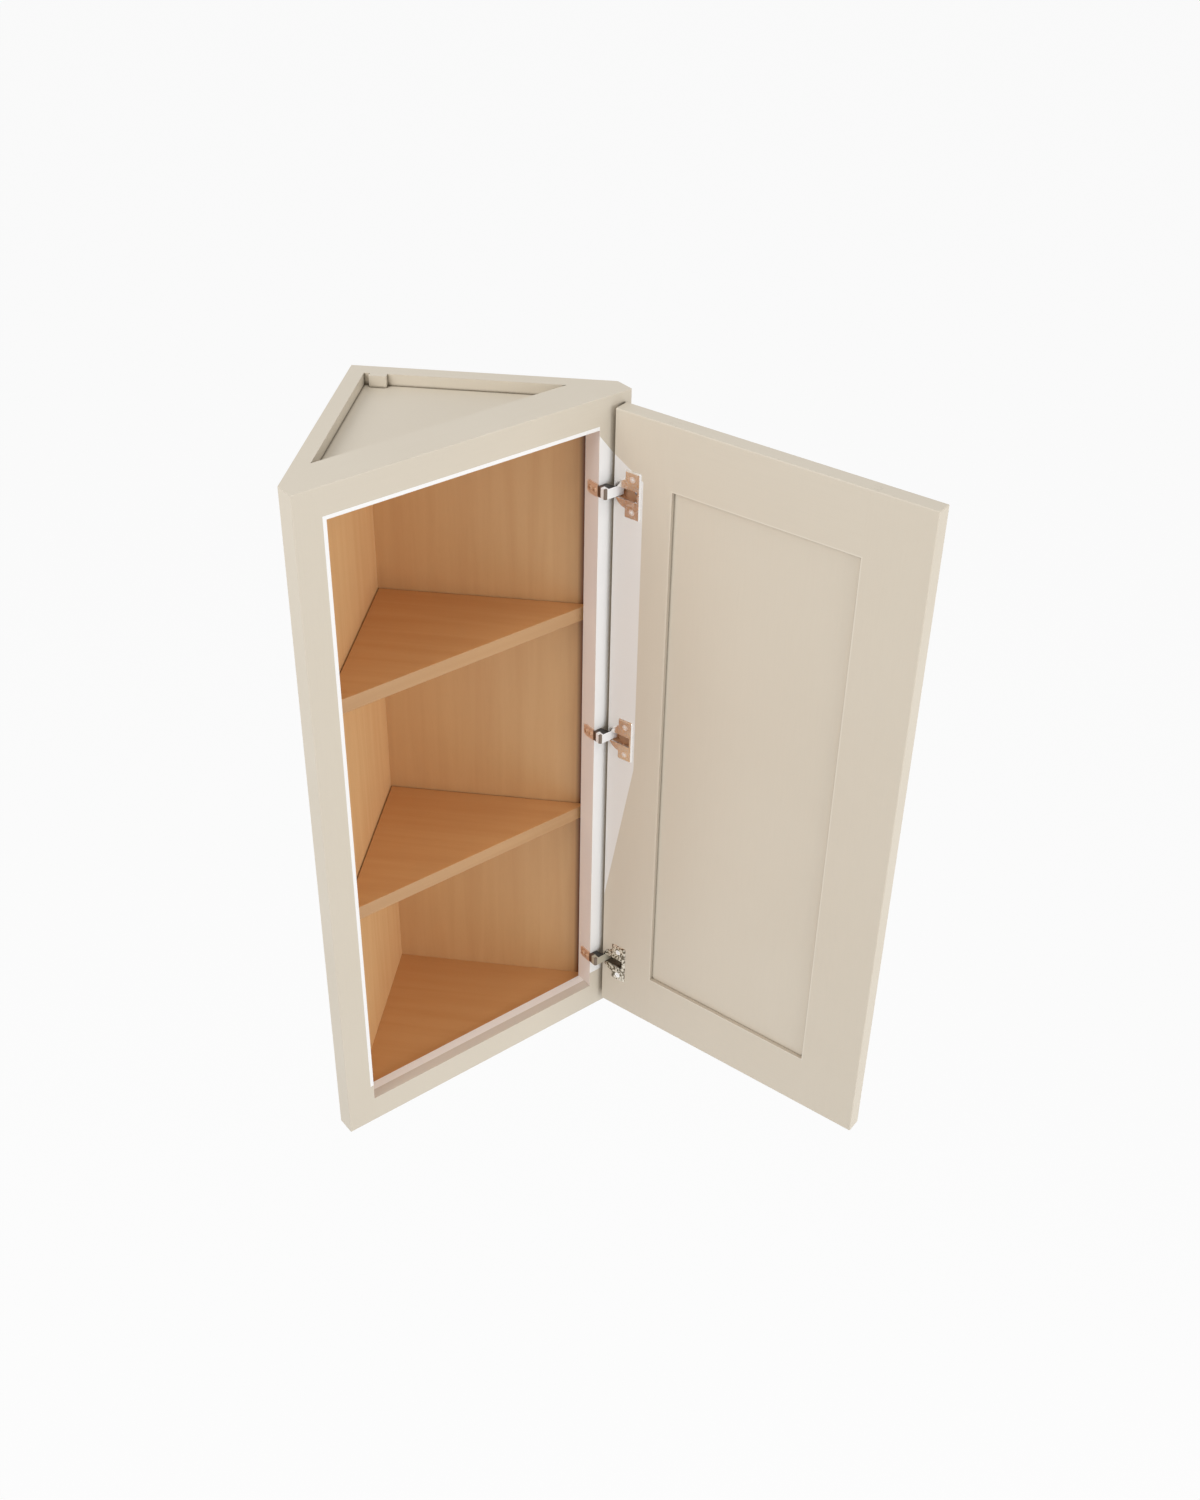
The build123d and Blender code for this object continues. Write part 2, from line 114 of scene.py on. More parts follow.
@dataclass(frozen=True)
class Finish:
    """A surface finish. Each kind shades its own Principled shader."""

    name: str

    def material(self) -> bpy.types.Material:
        """Makes the finish's material, or finds it if it is made already.

        Returns:
            The material.
        """
        found = bpy.data.materials.get(self.name)
        if found:
            return found
        made = bpy.data.materials.new(self.name)
        made.use_nodes = True
        tree = made.node_tree
        tree.nodes.clear()
        shader = add_node(tree, "ShaderNodeBsdfPrincipled", {})
        add_node(tree, "ShaderNodeOutputMaterial", {"Surface": shader})
        self.shade(tree, shader)
        return made

    def shade(self, tree: bpy.types.NodeTree, shader: bpy.types.Node) -> None:
        """Gives the shader its colours and its surface.

        Args:
            tree: the material's nodes.
            shader: its Principled shader.
        """
        raise NotImplementedError

    def surface(self, tree: bpy.types.NodeTree, shader: bpy.types.Node, layer: Layer) -> None:
        """Links a coated layer to the shader, with its relief as a faint bump.

        Args:
            tree: the material's nodes.
            shader: the Principled shader.
            layer: what it shows.
        """
        tree.links.new(layer.colour, shader.inputs["Base Color"])
        tree.links.new(layer.roughness.outputs[0], shader.inputs["Roughness"])
        bump = add_node(tree, "ShaderNodeBump", {
            "Height": layer.height, "Strength": COAT_RELIEF, "Distance": COAT_DEPTH})
        tree.links.new(bump.outputs[0], shader.inputs["Normal"])
        shader.inputs["IOR"].default_value = COAT_IOR

    def place(self, tree: bpy.types.NodeTree, axes: Axes = BOX,
              size: Sequence[float] = (1, 1, 1)) -> bpy.types.Node:
        """Object coordinates, moved, turned and measured in a pattern's own sizes.

        Args:
            tree: the material's nodes.
            axes: the coordinates that the pattern lies along.
            size: one step of the pattern along its own axes.

        Returns:
            The vector.
        """
        where = add_node(tree, "ShaderNodeTexCoord", {})
        return add_node(tree, "ShaderNodeMapping", {
            "Vector": where.outputs["Object"], "Location": axes.origin,
            "Rotation": (0, 0, math.radians(axes.turn)), "Scale": size}, vector_type="TEXTURE")

    def streaks(self, tree: bpy.types.NodeTree, run: Run, across: float, along: float,
                detail: float = 2.0, distortion: float = 0.0) -> bpy.types.Node:
        """Noise drawn out along a board.

        Args:
            tree: the material's nodes.
            run: the way the board runs.
            across: width of one streak.
            along: length of one streak.
            detail: the noise's detail.
            distortion: how far the streaks wander.

        Returns:
            A value from zero to one.
        """
        turn, upright = run.value
        size = (across, across, along) if upright else (along, across, across)
        return add_node(tree, "ShaderNodeTexNoise", {
            "Vector": self.place(tree, Axes(turn), size), "Scale": 1.0, "Detail": detail,
            "Distortion": distortion})

    def coats(self, tree: bpy.types.NodeTree, ground: Value, *coats: tuple[Value, Value]) -> Value:
        """Lays colours over each other.

        Args:
            tree: the material's nodes.
            ground: the colour at the bottom.
            coats: for each coat, the share of it that shows, and its colour.

        Returns:
            The colour that the eye sees.
        """
        for share, colour in coats:
            mixed = add_node(tree, "ShaderNodeMix", {0: share, 6: ground, 7: colour}, data_type="RGBA")
            ground = mixed.outputs[2]
        return ground

    def within(self, tree: bpy.types.NodeTree, axes: Axes, *spans: Union[Span, None]) -> Value:
        """Finds the points inside a box.

        Args:
            tree: the material's nodes.
            axes: the coordinates that the box lies along.
            spans: the box's low and high end along each axis, or None where it has no ends.

        Returns:
            One inside the box and zero outside.
        """
        parts = add_node(tree, "ShaderNodeSeparateXYZ", {0: self.place(tree, axes)})
        share: Value = 1.0
        for reach, span in zip(parts.outputs, spans):
            if span:
                above = add_node(tree, "ShaderNodeMath", {0: reach, 1: span[0]}, operation="GREATER_THAN")
                below = add_node(tree, "ShaderNodeMath", {0: reach, 1: span[1]}, operation="LESS_THAN")
                inside = add_node(tree, "ShaderNodeMath", {0: above, 1: below}, operation="MULTIPLY")
                share = add_node(tree, "ShaderNodeMath", {0: share, 1: inside}, operation="MULTIPLY")
        return share

    def under_slant(self, tree: bpy.types.NodeTree, axes: Axes, start: Span, end: Span) -> bpy.types.Node:
        """Finds the points under a slanted line drawn on an upright face.

        Args:
            tree: the material's nodes.
            axes: the coordinates that the face lies along.
            start: a point of the line, along the face and up.
            end: another point of it.

        Returns:
            One under the line and zero above it.
        """
        slope = (end[1] - start[1]) / (end[0] - start[0])
        height = add_node(tree, "ShaderNodeVectorMath", {0: self.place(tree, axes), 1: (-slope, 0.0, 1.0)},
                          operation="DOT_PRODUCT")
        return add_node(tree, "ShaderNodeMath", {0: height.outputs["Value"], 1: start[1] - slope * start[0]},
                        operation="LESS_THAN")

    def crevice_shade(self, tree: bpy.types.NodeTree, reach: float, opened: float,
                closed: float) -> bpy.types.Node:
        """Finds the inner angles and narrow gaps by ambient occlusion, for painted shade where little light
        gets in.

        Args:
            tree: the material's nodes.
            reach: how far off a wall still counts.
            opened: how free the point is where the painted shade starts.
            closed: how free it is where the painted shade is deepest.

        Returns:
            One in the deepest corner and zero in the open.
        """
        free = add_node(tree, "ShaderNodeAmbientOcclusion", {"Distance": reach}, samples=8)
        return add_node(tree, "ShaderNodeMapRange", {0: free.outputs["AO"], 1: opened, 2: closed})


@dataclass(frozen=True)
class SprayedPaint(Finish):
    """Alkyd satin paint, sprayed on solid maple: even and soft, with a fine orange peel and a faint
    show of the grain that the paint doesn't fill. The eye sees a flat warm beige with a low sheen, and
    a thin darker line of painted shade where two faces meet in an inner corner."""

    run: Run = Run.UPRIGHT
    colour: str = "#D9CFBE"
    tone: str = "#D2C7B5"
    # painted shade: the colour laid into inner corners and narrow gaps by ambient occlusion
    corner: str = "#7C715F"
    grain_across: float = 1.1 * MM
    grain_along: float = 45 * MM
    peel: float = 1.6 * MM
    patch: float = 160 * MM
    patch_band: Span = (0.35, 0.65)
    patch_share: float = 0.15
    grain_band: Span = (0.45, 0.75)
    grain_share: float = 0.20
    corner_shade_reach: float = 5 * MM
    corner_shade_free: Span = (0.78, 0.50)
    rough: Span = (0.40, 0.50)
    ridge_height: float = 0.6
    dimple_height: float = 0.4

    def layer(self, tree: bpy.types.NodeTree) -> Layer:
        """Draws the paint.

        Args:
            tree: the material's nodes.

        Returns:
            The paint's layer.
        """
        low, high = NOISE_BAND
        patches = self.streaks(tree, self.run, self.patch, self.patch)
        grain = self.streaks(tree, self.run, self.grain_across, self.grain_along, 3.0, 0.4)
        peel = self.streaks(tree, self.run, self.peel, self.peel, 1.0)
        toned = add_node(tree, "ShaderNodeMapRange", {
            0: patches, 1: self.patch_band[0], 2: self.patch_band[1], 4: self.patch_share})
        grained = add_node(tree, "ShaderNodeMapRange", {
            0: grain, 1: self.grain_band[0], 2: self.grain_band[1], 4: self.grain_share})
        # painted shade in inner corners and gaps, from ambient occlusion
        corner_shading = self.crevice_shade(tree, self.corner_shade_reach, *self.corner_shade_free)
        colour = self.coats(tree, linear(self.colour), (toned, linear(self.tone)),
                            (grained, linear(self.tone)), (corner_shading, linear(self.corner)))
        roughness = add_node(tree, "ShaderNodeMapRange", {
            0: patches, 1: low, 2: high, 3: self.rough[0], 4: self.rough[1]})
        ridges = add_node(tree, "ShaderNodeMapRange", {0: grain, 1: low, 2: high, 4: self.ridge_height})
        dimples = add_node(tree, "ShaderNodeMapRange", {0: peel, 1: low, 2: high, 4: self.dimple_height})
        height = add_node(tree, "ShaderNodeMath", {0: ridges, 1: dimples}, operation="ADD")
        return Layer(colour, roughness, height)

    def shade(self, tree: bpy.types.NodeTree, shader: bpy.types.Node) -> None:
        """Gives the shader the paint alone."""
        self.surface(tree, shader, self.layer(tree))


@dataclass(frozen=True)
class ClearedVeneer(Finish):
    """Maple veneer under a honey-coloured clear coat, rolled on a board: straight fine grain with slow
    darker figure, and a painted shadow at the seam behind the hinge stile. The eye sees a warm even
    orange brown, short darker flecks from close up and a dark line of painted shadow there."""

    run: Run = Run.UPRIGHT
    light: str = "#D2A775"
    dark: str = "#CDA06F"
    fleck: str = "#B98858"
    # painted shadow: darkens the veneer just behind the hinge stile
    joint_shadow: str = "#6B4024"
    joint_start: float = 378.0 * MM
    joint_depth: Span = (0.0, 0.0)
    figure_across: float = 14 * MM
    figure_along: float = 300 * MM
    fleck_across: float = 0.9 * MM
    fleck_along: float = 14 * MM
    fleck_share: float = 0.14
    figure_band: Span = (0.35, 0.68)
    fleck_band: Span = (0.55, 0.80)
    rough: Span = (0.44, 0.52)

    def layer(self, tree: bpy.types.NodeTree) -> Layer:
        """Draws the veneer.

        Args:
            tree: the material's nodes.

        Returns:
            The veneer's layer.
        """
        figure = self.streaks(tree, self.run, self.figure_across, self.figure_along, 3.0, 0.6)
        flecks = self.streaks(tree, self.run, self.fleck_across, self.fleck_along)
        figured = add_node(tree, "ShaderNodeMapRange", {
            0: figure, 1: self.figure_band[0], 2: self.figure_band[1]})
        flecked = add_node(tree, "ShaderNodeMapRange", {
            0: flecks, 1: self.fleck_band[0], 2: self.fleck_band[1], 4: self.fleck_share})
        colour = self.coats(tree, linear(self.light), (figured, linear(self.dark)),
                            (flecked, linear(self.fleck)))
        # painted shadow behind the hinge stile, over the given depth behind the frame
        if any(self.joint_depth):
            behind = add_node(tree, "ShaderNodeSeparateXYZ", {0: self.place(tree, FRAME)}).outputs[1]
            near, deep = self.joint_depth
            shadow_ramp = add_node(tree, "ShaderNodeMapRange", {0: behind, 1: near, 2: deep})
            corner = self.within(tree, FRAME, (self.joint_start, FAR))
            shadow_share = add_node(tree, "ShaderNodeMath", {0: corner, 1: shadow_ramp}, operation="MULTIPLY")
            colour = self.coats(tree, colour, (shadow_share, linear(self.joint_shadow)))
        roughness = add_node(tree, "ShaderNodeMapRange", {
            0: figure, 1: NOISE_BAND[0], 2: NOISE_BAND[1], 3: self.rough[0], 4: self.rough[1]})
        return Layer(colour, roughness, flecks)

    def shade(self, tree: bpy.types.NodeTree, shader: bpy.types.Node) -> None:
        """Gives the shader the veneer alone."""
        self.surface(tree, shader, self.layer(tree))


@dataclass(frozen=True)
class CarcassBoard(Finish):
    """A carcass board: veneered on the face towards the compartments and painted on the rest, as the
    photographed cabinet is on its top edges and its top panel."""

    paint: SprayedPaint
    veneer: ClearedVeneer
    inside: tuple[Union[Span, None], ...]

    def shade(self, tree: bpy.types.NodeTree, shader: bpy.types.Node) -> None:
        """Gives the shader veneer inside and paint outside."""
        share = self.within(tree, BOX, *self.inside)
        wood, paint = self.veneer.layer(tree), self.paint.layer(tree)
        colour = self.coats(tree, paint.colour, (share, wood.colour))
        roughness = add_node(tree, "ShaderNodeMix", {0: share, 2: paint.roughness, 3: wood.roughness})
        height = add_node(tree, "ShaderNodeMix", {0: share, 2: paint.height, 3: wood.height})
        self.surface(tree, shader, Layer(colour, roughness, height))


@dataclass(frozen=True)
class ShelfBoard(Finish):
    """A loose shelf: veneer on its faces, and an edging strip of solid maple along its front."""

    face: ClearedVeneer
    edging: ClearedVeneer
    edge_depth: float = 4.3 * MM

    def shade(self, tree: bpy.types.NodeTree, shader: bpy.types.Node) -> None:
        """Gives the shader veneer with the edging at the front."""
        share = self.within(tree, FRAME, None, (-FAR, self.edge_depth), None)
        face, edging = self.face.layer(tree), self.edging.layer(tree)
        colour = self.coats(tree, face.colour, (share, edging.colour))
        self.surface(tree, shader, Layer(colour, face.roughness, face.height))


@dataclass(frozen=True)
class FrameMember(Finish):
    """A face frame member: painted, with a bare margin of white primer round the opening, which the
    closed door covers. The eye sees a thin white line round the dark opening."""

    paint: SprayedPaint
    primer: str = "#FBFAF9"
    primed_edge: str = "#F4ECE7"
    margin: tuple[Span, Span] = ((33.6 * MM, 406.5 * MM), (38.0 * MM, 880.8 * MM))
    front: float = 25.3 * MM
    front_low: float = 62.0 * MM
    front_cut: tuple[Span, Span] = ((387.7 * MM, 868.2 * MM), (406.0 * MM, 844.7 * MM))
    sill_depth: float = 11.8 * MM
    # painted light: the sill's front strip takes a lighter, greyer copy of the paint, offsetting the brown
    # light the veneer bounces onto it
    sill_paint_lightened: str = "#DCD5CB"
    gap_shade: str = "#AEA393"
    gap_reach: float = 24 * MM
    gap_free: Span = (0.34, 0.27)
    skin: float = 1 * MM

    def shade(self, tree: bpy.types.NodeTree, shader: bpy.types.Node) -> None:
        """Gives the shader paint with its primed margin."""
        along, (low, high) = self.margin
        sill_top = (low, low + self.skin)
        face = (-FAR, -self.front)
        ahead = self.within(tree, FRAME, None, face)
        # the sill top takes the whiter primer rather than the primed edge tone, painted lighter because it
        # gets less light
        on_sill = self.within(tree, FRAME, along, None, sill_top)
        white = add_node(tree, "ShaderNodeMath", {0: ahead, 1: on_sill}, operation="MAXIMUM")
        paint = self.paint.layer(tree)
        primer = self.coats(tree, linear(self.primed_edge), (white, linear(self.primer)))
        narrow = self.crevice_shade(tree, self.gap_reach, *self.gap_free)
        gap = add_node(tree, "ShaderNodeMath", {0: ahead, 1: narrow}, operation="MULTIPLY")
        hinge_side = self.within(tree, FRAME, (self.front_cut[0][0] - self.skin, FAR), face)
        below = self.under_slant(tree, FRAME, *self.front_cut)
        masked = add_node(tree, "ShaderNodeMath", {0: hinge_side, 1: below}, operation="SUBTRACT",
                          use_clamp=True)
        colour = self.coats(
            tree, paint.colour,
            (self.within(tree, FRAME, along, None, (low, high)), primer),
            (self.within(tree, FRAME, along, (-FAR, -self.sill_depth), sill_top), linear(self.sill_paint_lightened)),
            (self.within(tree, FRAME, along, face, (0.0, self.front_low)), paint.colour),
            (masked, paint.colour),
            (gap, linear(self.gap_shade)))
        self.surface(tree, shader, Layer(colour, paint.roughness, paint.height))


@dataclass(frozen=True)
class DoorMember(Finish):
    """A door stile or rail: painted, with painted shade on the narrow step down to the centre panel and
    a painted highlight on the arris above it. The eye sees a fine dark line of painted shade round the
    panel, with a faint light line of painted highlight beside it."""

    paint: SprayedPaint
    # step: painted shade on the step faces round the centre panel; light: painted highlight on the arris
    step: str = "#C4B9A8"
    light: str = "#E0D7C7"
    arris: float = 1.6 * MM
    recess: tuple[Span, Span] = ((79.1 * MM, 315.9 * MM), (91.8 * MM, 822.6 * MM))

    def shade(self, tree: bpy.types.NodeTree, shader: bpy.types.Node) -> None:
        """Gives the shader paint with the painted shade on the step and the painted highlight on the arris.
        """
        along, upright = self.recess
        wide, tall = ((low - self.arris, high + self.arris) for low, high in (along, upright))
        paint = self.paint.layer(tree)
        # painted highlight on the arris, then painted shade on the step
        colour = self.coats(
            tree, paint.colour,
            (self.within(tree, DOOR, wide, None, tall), linear(self.light)),
            (self.within(tree, DOOR, along, None, upright), linear(self.step)))
        self.surface(tree, shader, Layer(colour, paint.roughness, paint.height))


@dataclass(frozen=True)
class HingeStile(DoorMember):
    """The door stile that carries the hinges, with primer left bare where the paint was masked off
    round the two upper hinges. The eye sees a pale patch with slanted ends on the inner face."""

    primer: str = "#EDEBE8"
    bare: float = 40.5 * MM
    inner_face: float = 0.5 * MM
    top_cut: tuple[Span, Span] = ((0.0, 846.5 * MM), (20.3 * MM, 834.8 * MM))
    foot_cut: tuple[Span, Span] = ((1.0 * MM, 203.7 * MM), (40.5 * MM, 425.0 * MM))

    def shade(self, tree: bpy.types.NodeTree, shader: bpy.types.Node) -> None:
        """Gives the shader paint with the bare patch."""
        super().shade(tree, shader)
        painted = shader.inputs["Base Color"].links[0].from_socket
        edge = self.within(tree, DOOR, (-FAR, self.bare), (-FAR, self.inner_face))
        under_top = self.under_slant(tree, DOOR, *self.top_cut)
        under_foot = self.under_slant(tree, DOOR, *self.foot_cut)
        between = add_node(tree, "ShaderNodeMath", {0: under_top, 1: under_foot}, operation="SUBTRACT",
                           use_clamp=True)
        patch = add_node(tree, "ShaderNodeMath", {0: edge, 1: between}, operation="MULTIPLY")
        tree.links.new(self.coats(tree, painted, (patch, linear(self.primer))), shader.inputs["Base Color"])


@dataclass(frozen=True)
class PlatedSteel(Finish):
    """Nickel-plated pressed steel, barrel polished: bright, with soft streaks where the strip was
    rolled. The eye sees the white room and the brown compartment mirrored in it."""

    tone: str = "#E9E6E2"
    metallic: float = 1.0
    smooth: float = 0.10
    dull: float = 0.22
    streak_across: float = 0.5 * MM
    streak_along: float = 9 * MM
    cloud: float = 4 * MM
    relief: float = 0.08
    relief_depth: float = 0.02 * MM

    def metal(self, tree: bpy.types.NodeTree, shader: bpy.types.Node) -> None:
        """Gives the shader metal with rolled streaks.

        Args:
            tree: the material's nodes.
            shader: the Principled shader.
        """
        streak = self.streaks(tree, Run.UPRIGHT, self.streak_across, self.streak_along)
        cloud = self.streaks(tree, Run.UPRIGHT, self.cloud, self.cloud)
        haze = add_node(tree, "ShaderNodeMapRange", {
            0: cloud, 1: NOISE_BAND[0], 2: NOISE_BAND[1], 3: self.smooth, 4: self.dull})
        bump = add_node(tree, "ShaderNodeBump", {
            "Height": streak, "Strength": self.relief, "Distance": self.relief_depth})
        tree.links.new(haze.outputs[0], shader.inputs["Roughness"])
        tree.links.new(bump.outputs[0], shader.inputs["Normal"])
        shader.inputs["Base Color"].default_value = linear(self.tone)
        shader.inputs["Metallic"].default_value = self.metallic

    def shade(self, tree: bpy.types.NodeTree, shader: bpy.types.Node) -> None:
        """Gives the shader bright metal."""
        self.metal(tree, shader)


@dataclass(frozen=True)
class FoldedArm(PlatedSteel):
    """Pressed and folded steel, bright zinc, with painted shade on its folds. The front mirrors nothing but
    the white room, so that reflection is painted into it as plain white. The eye sees that white front, a
    dark top above it in painted shade, and a plate on the stile's edge that mirrors the brown compartment."""

    # bright: painted reflection of the white room on the front
    bright: str = "#FFFFFF"
    # painted shade: darker colours on the folds, on the root at the stile's corner and on the level top
    fold_shade: str = "#7D6D5F"
    root_shade: str = "#5A4030"
    top: str = "#34302C"
    front_metallic: float = 0.0
    level_from: float = 0.7
    front: float = 36.2 * MM
    frame_front: float = 25.4 * MM
    root_end: float = 31.0 * MM
    fold_end: float = 388.6 * MM
    top_start: float = 390.5 * MM

    def shade(self, tree: bpy.types.NodeTree, shader: bpy.types.Node) -> None:
        """Gives the shader bright metal with its darker folds and top."""
        self.metal(tree, shader)
        facing = add_node(tree, "ShaderNodeNewGeometry", {}).outputs["Normal"]
        up = add_node(tree, "ShaderNodeSeparateXYZ", {0: facing}).outputs[2]
        steep = add_node(tree, "ShaderNodeMath", {0: up}, operation="ABSOLUTE")
        level = add_node(tree, "ShaderNodeMath", {0: steep, 1: self.level_from}, operation="GREATER_THAN")
        proud = self.within(tree, FRAME, None, (-FAR, -self.frame_front), None)
        outer = self.within(tree, FRAME, (self.top_start, FAR), (-FAR, -self.frame_front), None)
        shaded_top = add_node(tree, "ShaderNodeMath", {0: level, 1: outer}, operation="MULTIPLY")
        # painted shade on the folds, the root and the level top, and a painted reflection as the white front
        colour = self.coats(
            tree, linear(self.tone),
            (proud, linear(self.bright)),
            (self.within(tree, FRAME, None, (-self.root_end, -self.frame_front), None), linear(self.root_shade)),
            (self.within(tree, FRAME, (0.0, self.fold_end), (-FAR, -self.front), None), linear(self.fold_shade)),
            (shaded_top, linear(self.top)))
        tree.links.new(colour, shader.inputs["Base Color"])
        share = add_node(tree, "ShaderNodeMapRange", {0: proud, 3: self.metallic, 4: self.front_metallic})
        tree.links.new(share.outputs[0], shader.inputs["Metallic"])


@dataclass(frozen=True)
class DrawnCup(PlatedSteel):
    """Deep-drawn steel cup under its flange: zinc spangles, some bright as a mirror and some dull white,
    the dull white spots partly a painted highlight, and a dull brown inside that is painted shade and
    the brown compartment's painted reflection. The eye sees a mottled brown and white plate."""

    spangle: float = 3.0 * MM
    mottle: Span = (0.30, 0.80)
    cover: Span = (0.10, 0.70)
    # dull white spots: partly a spangle pattern and partly a painted highlight
    spangle_highlight: str = "#F4EEE8"
    # inside colour: painted shade and painted reflection of the brown compartment in the hollow
    inner: str = "#E2B894"
    inner_shine: float = 0.2
    white_shine: float = 0.45
    wall: float = 0.4 * MM

    def shade(self, tree: bpy.types.NodeTree, shader: bpy.types.Node) -> None:
        """Gives the shader a spangled flange and a dull inside."""
        self.metal(tree, shader)
        crystals = self.streaks(tree, Run.UPRIGHT, self.spangle, self.spangle)
        spangles = add_node(tree, "ShaderNodeMapRange", {
            0: crystals, 1: self.mottle[0], 2: self.mottle[1], 3: self.cover[0], 4: self.cover[1]})
        inside = self.within(tree, DOOR, None, (self.wall, FAR), None)
        colour = self.coats(tree, linear(self.tone), (spangles, linear(self.spangle_highlight)),
                            (inside, linear(self.inner)))
        tree.links.new(colour, shader.inputs["Base Color"])
        shine = add_node(tree, "ShaderNodeMapRange", {0: spangles, 3: self.metallic, 4: self.white_shine})
        shine = add_node(tree, "ShaderNodeMix", {0: inside, 2: shine, 3: self.inner_shine})
        tree.links.new(shine.outputs[0], shader.inputs["Metallic"])


@dataclass(frozen=True)
class Beech(Finish):
    """Bare beech dowel rod, turned and cut: pale and dry, with short dark flecks along its length."""

    pale: str = "#D8BC90"
    dark: str = "#B8925F"
    fleck: Span = (0.6 * MM, 3 * MM)
    fleck_band: Span = (0.5, 0.75)
    rough: Span = (0.6, 0.75)

    def shade(self, tree: bpy.types.NodeTree, shader: bpy.types.Node) -> None:
        """Gives the shader flecked pale wood."""
        flecks = self.streaks(tree, Run.UPRIGHT, *self.fleck)
        share = add_node(tree, "ShaderNodeMapRange", {
            0: flecks, 1: self.fleck_band[0], 2: self.fleck_band[1]})
        tree.links.new(self.coats(tree, linear(self.pale), (share, linear(self.dark))),
                       shader.inputs["Base Color"])
        dry = add_node(tree, "ShaderNodeMapRange", {
            0: flecks, 1: NOISE_BAND[0], 2: NOISE_BAND[1], 3: self.rough[0], 4: self.rough[1]})
        tree.links.new(dry.outputs[0], shader.inputs["Roughness"])


def dress(finish: Finish, *nodes: str) -> None:
    """Gives CAD nodes a finish.

    Args:
        finish: the finish.
        nodes: the nodes' names.
    """
    for node in nodes:
        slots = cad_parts[node].data.materials
        slots.clear()
        slots.append(finish.material())
    log.info("dressed %s in %s", ", ".join(nodes), finish.name)


@dataclass
class Carcass:
    """Side, back, top and bottom boards with what stands on the top one."""

    inner_face: float = 19.0 * MM
    decks: Span = (23.6 * MM, 890.9 * MM)
    # depths behind the frame over which the painted shadow behind the hinge stile deepens
    joint_depth: Span = (15 * MM, 10.5 * MM)

    def dress(self) -> None:
        """Paints the boards outside and veneers them inside."""
        wall = ClearedVeneer("maple veneer, upright", run=Run.UPRIGHT, joint_depth=self.joint_depth)
        paler = ClearedVeneer("maple veneer, upright, from a paler sheet", run=Run.UPRIGHT,
                              light="#DFB582", dark="#DAAE7B", fleck="#C59462")
        floor = ClearedVeneer("maple veneer, along the wall", run=Run.ALONG_WALL,
                              light="#D19D68", dark="#CD9761", fleck="#B57D4A")
        upright = SprayedPaint("satin paint, upright", run=Run.UPRIGHT)
        flat = SprayedPaint("satin paint, along the wall", run=Run.ALONG_WALL)
        low, high = self.decks
        dress(CarcassBoard("veneered side board", paint=upright, veneer=paler,
                           inside=((self.inner_face, FAR), None, self.decks)), "side_panel")
        dress(CarcassBoard("veneered back board", paint=upright, veneer=wall,
                           inside=(None, (-FAR, -self.inner_face), self.decks)), "back_panel")
        dress(CarcassBoard("veneered bottom board", paint=flat, veneer=floor,
                           inside=(None, None, (low, FAR))), "bottom_panel")
        dress(CarcassBoard("veneered top board", paint=flat, veneer=floor,
                           inside=(None, None, (0.0, high))), "top_panel")
        dress(SprayedPaint("satin paint on the nailer", run=Run.ALONG_FRAME), "top_nailer")
        dress(flat, "corner_block")
        dress(Beech("turned beech dowels"), "box_dowels")


@dataclass
class FaceFrame:
    """Two stiles and two rails round the opening."""

    def dress(self) -> None:
        """Paints the members along their own lengths."""
        upright = SprayedPaint("satin paint on the stiles", run=Run.UPRIGHT)
        level = SprayedPaint("satin paint on the rails", run=Run.ALONG_FRAME)
        dress(FrameMember("painted frame stile", paint=upright), "frame_left_stile", "frame_right_stile")
        dress(FrameMember("painted frame rail", paint=level), "frame_bottom_rail", "frame_top_rail")
        dress(Beech("turned beech dowels"), "frame_dowels")


@dataclass
class Shelves:
    """Two loose shelves on steel supports."""

    def dress(self) -> None:
        """Veneers the shelves and plates their supports."""
        face = ClearedVeneer("maple veneer, shelf face", run=Run.ALONG_WALL, light="#D5A16B", dark="#D09A64",
                             fleck="#B8804C")
        edging = ClearedVeneer("maple edging", run=Run.ALONG_FRAME, light="#C2986C", dark="#BC9165")
        dress(ShelfBoard("edged shelf board", face=face, edging=edging), "lower_shelf", "upper_shelf")
        dress(PlatedSteel("nickel-plated shelf supports", smooth=0.2, dull=0.32),
              "lower_shelf_supports", "upper_shelf_supports")


@dataclass
class Door:
    """Framed door with a flat centre panel."""

    def dress(self) -> None:
        """Paints the members along their own lengths."""
        # corner: colour of the painted shade laid into inner corners and gaps, darkest on the centre panel
        upright = SprayedPaint("satin paint on the door stiles", run=Run.UPRIGHT, corner="#B5A996")
        level = SprayedPaint("satin paint on the door rails", run=Run.ALONG_DOOR, corner="#B5A996")
        panel = SprayedPaint("satin paint on the centre panel", run=Run.UPRIGHT, corner="#988C7B")
        dress(HingeStile("painted hinge stile", paint=upright), "door_hinge_stile")
        dress(DoorMember("painted free stile", paint=upright), "door_free_stile")
        dress(DoorMember("painted door rail", paint=level), "door_bottom_rail", "door_top_rail")
        dress(panel, "door_centre_panel")


